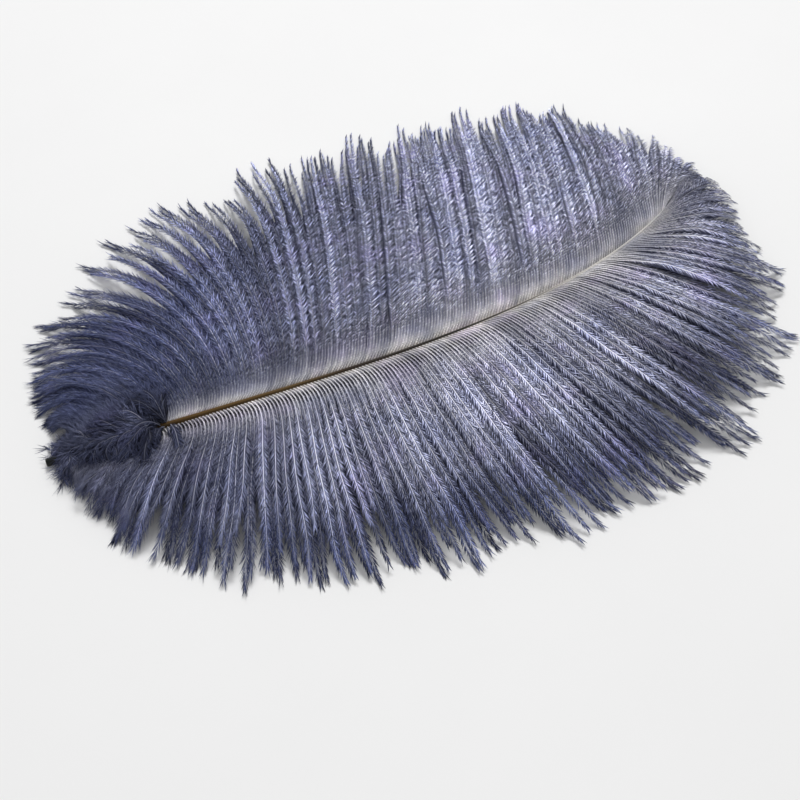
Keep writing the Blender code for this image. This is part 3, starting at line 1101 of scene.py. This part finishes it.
def add_grain(nodes, links, shader, colour, vector, fineness, contrast, roughness, depth):
    """Put the grain on a shader: its shade on this colour, its roughness, its height as a bump."""
    node = nodes.new("ShaderNodeGroup")
    node.node_tree = bpy.data.node_groups.get("grain") or grain_group()
    links.new(vector, node.inputs["Vector"])
    node.inputs["Fineness"].default_value = fineness
    node.inputs["Contrast"].default_value = contrast
    node.inputs["Mean Roughness"].default_value = roughness
    links.new(multiplied(nodes, links, colour, node.outputs["Shade"]), shader.inputs["Base Color"])
    links.new(node.outputs["Roughness"], shader.inputs["Roughness"])
    bump = nodes.new("ShaderNodeBump")
    bump.inputs["Strength"].default_value = 0.5
    bump.inputs["Distance"].default_value = depth
    links.new(node.outputs["Height"], bump.inputs["Height"])
    links.new(bump.outputs["Normal"], shader.inputs["Normal"])


def plume_material():
    """Dyed barbs: cream at the root, lavender grey along the barb, navy where the dusk, a painted
    shade, says.

    The colour along the barb is multiplied by a painted shade across it, except on the bare thread,
    by the patches and by two to the power of the tint, which holds painted light and shade besides a
    random tone. Dark tints, most of them painted shade, turn inky blue.
    """
    material, nodes, links = new_material("dyed_plume")
    shader = nodes["Principled BSDF"]
    place = in_place(nodes)
    tint = attribute(nodes, "tint")
    fringe = attribute(nodes, "fringe")
    along = ramp(nodes, links, DYE_ALONG, attribute(nodes, "reach"))
    # Painted shade across the barb, darkest at the barbules' tips.
    shaded = multiplied(nodes, links, along, ramp(nodes, links, PAINTED_SHADE_ACROSS, fringe))
    bare = mix_colour(nodes, links, 0.75, along, BARE_THREAD)
    dyed = mix_colour(nodes, links, stretched(nodes, links, fringe, 0.1, 0.0), shaded, bare)
    # Painted shade: where the dusk says, the dye is multiplied by a dark navy.
    painted_dusky = mix_colour(
        nodes, links, attribute(nodes, "painted_dusk"), dyed, multiplied(nodes, links, dyed, PAINTED_DUSK)
    )
    patches = ramp(nodes, links, DYE_PATCHES, noise(nodes, links, place, PATCHES_PER_METRE, 3.0))
    patched = multiplied(nodes, links, painted_dusky, patches)
    bright = multiplied(nodes, links, patched, number(nodes, links, "POWER", 2.0, tint))
    # The colour of painted shade: the darker the tint, the more of this blue.
    darkness = number(nodes, links, "MULTIPLY", tint, -0.5)
    colour = mix_colour(nodes, links, darkness, bright, multiplied(nodes, links, bright, PAINTED_SHADE_BLUE))
    add_grain(
        nodes, links, shader, colour, place,
        fineness=1400.0, contrast=0.45, roughness=0.62, depth=0.02 * MM,
    )
    shader.inputs["Specular IOR Level"].default_value = 0.25
    return material


def floor_material():
    """A plain pale floor with a faint grain."""
    material, nodes, links = new_material("pale_floor")
    shader = nodes["Principled BSDF"]
    add_grain(
        nodes, links, shader, FLOOR_GREY, in_place(nodes),
        fineness=40.0, contrast=0.015, roughness=0.62, depth=0.02 * MM,
    )
    return material


# The shaft.


def make_shaft():
    """The shaft as a lofted round tube along its line."""
    share = np.linspace(0, 1, SHAFT_STATIONS)
    line = points_on_shaft(share)[None]
    radius = shaft_radius(share)[None]
    angles = np.linspace(0, 2 * math.pi, SHAFT_SIDES, endpoint=False)
    section = np.stack([np.cos(angles), np.sin(angles)], axis=1)
    points = tubes(line, radius, radius, section)
    pile = Pile()
    place = np.repeat(share, SHAFT_SIDES)
    aside = np.tile(np.cos(angles), SHAFT_STATIONS)
    zero = np.zeros(len(place))
    faces = tube_faces(1, SHAFT_STATIONS, SHAFT_SIDES)
    pile.add(points, faces, zero, place, place * SHAFT_LENGTH, zero + 1, aside, zero, zero)
    return mesh_object("shaft", pile, 1)


def shaft_material():
    """Horn: near black at the cut, golden brown, then a dark middle band between cream edges. The
    middle band is lighter on the wide vane's side and darker on the other: painted light and shade.

    The grain's noise runs in fibres, because its vector is 12 times the place along the shaft
    and once the place across it.
    """
    material, nodes, links = new_material("horn_shaft")
    shader = nodes["Principled BSDF"]
    along = attribute(nodes, "along")
    across = attribute(nodes, "hand")
    middle = ramp(nodes, links, HORN_MIDDLE, along)
    edges = ramp(nodes, links, HORN_EDGES, along)
    narrowing = stretched(nodes, links, along, *BAND_SHARES)
    wide, narrow = BAND_WIDTHS
    width = number(nodes, links, "MULTIPLY_ADD", narrowing, narrow - wide, wide)
    inside = number(nodes, links, "SUBTRACT", width, BAND_BLUR)
    outside = number(nodes, links, "ADD", width, BAND_BLUR)
    aside = number(nodes, links, "ABSOLUTE", across)
    rim = stretched(nodes, links, aside, inside, outside)
    # Painted light and shade: the middle band is lighter on the wide vane's side, towards the key
    # lamp, and darker on the other.
    painted_side_light = number(nodes, links, "MULTIPLY_ADD", across, 0.55, 0.95)
    colour = mix_colour(nodes, links, rim, multiplied(nodes, links, middle, painted_side_light), edges)
    fibres = nodes.new("ShaderNodeCombineXYZ")
    links.new(number(nodes, links, "MULTIPLY", along, 12.0), fibres.inputs["X"])
    links.new(across, fibres.inputs["Y"])
    add_grain(
        nodes, links, shader, colour, fibres.outputs["Vector"],
        fineness=9.0, contrast=0.7, roughness=0.48, depth=0.05 * MM,
    )
    shader.inputs["Specular IOR Level"].default_value = 0.2
    return material


# The stage.


def make_floor():
    """One flat square on the ground."""
    mesh = bpy.data.meshes.new("floor")
    corners = [(x * FLOOR_HALF, y * FLOOR_HALF, 0) for x, y in ((-1, -1), (1, -1), (1, 1), (-1, 1))]
    mesh.from_pydata(corners, [], [(0, 1, 2, 3)])
    floor = bpy.data.objects.new("floor", mesh)
    bpy.context.scene.collection.objects.link(floor)
    floor.data.materials.append(floor_material())


def aim(obj, target):
    """Turn a camera or lamp to look at the target, with its top up."""
    obj.rotation_mode = "QUATERNION"
    obj.rotation_quaternion = (Vector(target) - obj.location).to_track_quat("-Z", "Y")


def make_camera():
    """The camera, at its distance from LOOK_AT in the direction of its azimuth and elevation."""
    back = Vector((
        math.sin(CAMERA_AZIMUTH) * math.cos(CAMERA_ELEVATION),
        -math.cos(CAMERA_AZIMUTH) * math.cos(CAMERA_ELEVATION),
        math.sin(CAMERA_ELEVATION),
    ))
    data = bpy.data.cameras.new("camera")
    data.lens = LENS
    data.sensor_width = SENSOR
    data.clip_start = 0.01
    data.clip_end = 20
    camera = bpy.data.objects.new("camera", data)
    camera.location = Vector(LOOK_AT) + back * CAMERA_DISTANCE
    aim(camera, LOOK_AT)
    bpy.context.scene.collection.objects.link(camera)
    bpy.context.scene.camera = camera


def make_light(name, place, size, power):
    """A square lamp that looks at the origin."""
    data = bpy.data.lights.new(name, "AREA")
    data.size = size
    data.energy = power
    lamp = bpy.data.objects.new(name, data)
    lamp.location = place
    aim(lamp, (0, 0, 0))
    bpy.context.scene.collection.objects.link(lamp)


def make_light_and_air():
    """Soft studio light: white from all round, a key lamp behind the wide vane, a fill in front."""
    world = bpy.data.worlds.new("studio")
    world.use_nodes = True
    background = world.node_tree.nodes["Background"]
    background.inputs["Color"].default_value = (1, 1, 1, 1)
    background.inputs["Strength"].default_value = AIR_LIGHT
    bpy.context.scene.world = world
    make_light("key", *KEY_LIGHT)
    make_light("fill", *FILL_LIGHT)
    bpy.context.scene.view_settings.view_transform = "Standard"


def finish_piece(piece, material):
    """Give a piece its material, and tell the frame what it rides on and what it replaces."""
    piece.data.materials.append(material)
    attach(piece, "root")
    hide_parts("feather")


def make_vane(name, vane, barbs, plume, rng):
    """A vane as three pieces with about as much length of barb in each."""
    parts = 3
    weight = np.cumsum(barbs["length"])
    part_of = np.minimum((weight / weight[-1] * parts).astype(int), parts - 1)
    for part in range(parts):
        piece = barb_piece(f"{name}_{part + 1}", picked(barbs, part_of == part), vane, rng)
        finish_piece(piece, plume)


def build():
    """The whole scene: stage, vanes, down and shaft."""
    make_camera()
    make_light_and_air()
    make_floor()
    rng = np.random.default_rng(SEED)
    plume = plume_material()
    wide_barbs = grow_vane(WIDE_VANE, rng)
    narrow_barbs = grow_vane(NARROW_VANE, rng)
    make_vane("wide_vane", WIDE_VANE, wide_barbs, plume, rng)
    make_vane("narrow_vane", NARROW_VANE, narrow_barbs, plume, rng)
    down = barb_piece("down", grow_down(rng), DOWN, rng)
    finish_piece(down, plume)
    finish_piece(make_shaft(), shaft_material())


build()
